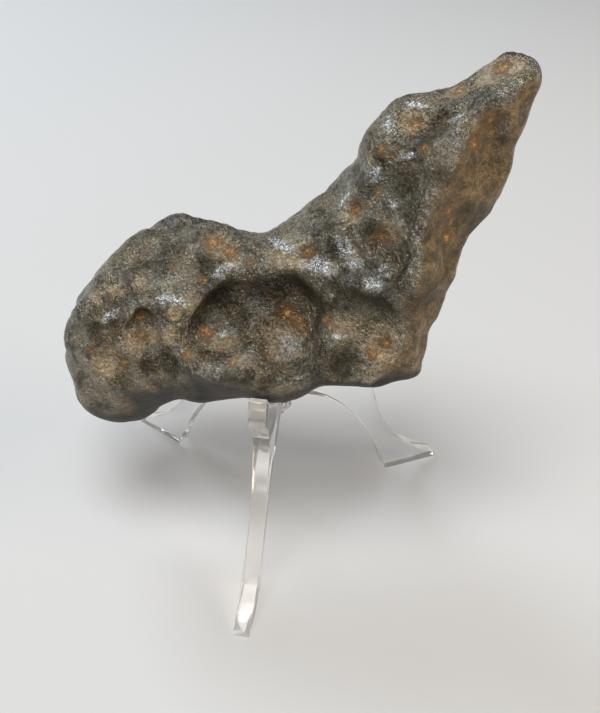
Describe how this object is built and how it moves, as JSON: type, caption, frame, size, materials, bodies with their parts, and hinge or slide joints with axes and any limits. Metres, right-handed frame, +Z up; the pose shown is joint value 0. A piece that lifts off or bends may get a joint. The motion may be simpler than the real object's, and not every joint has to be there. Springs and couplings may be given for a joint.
{
  "type": "iron meteorite on stand",
  "caption": "Iron meteorite with thumb-print hollows and a tall pointed wing, resting on a clear acrylic stand with curved legs.",
  "frame": {"origin": "middle of the object's footprint, on the surface that the stand's feet rest on", "axes": "+Z up, -Y the way the best side faces, +X the side that the wing rises on"},
  "size_m": [0.0836, 0.0644, 0.0993],
  "materials": {
    "iron": "dark natural skin with fine pits, rust in the hollows and a dull metallic shine on the rims",
    "acrylic": "clear polished sheet with cut edges"
  },
  "bodies": {
    "root": {"meteorite": "iron", "stand_leg_front": "acrylic", "stand_leg_right": "acrylic", "stand_leg_left": "acrylic", "hub_bead": "acrylic"}
  },
  "joints": []
}
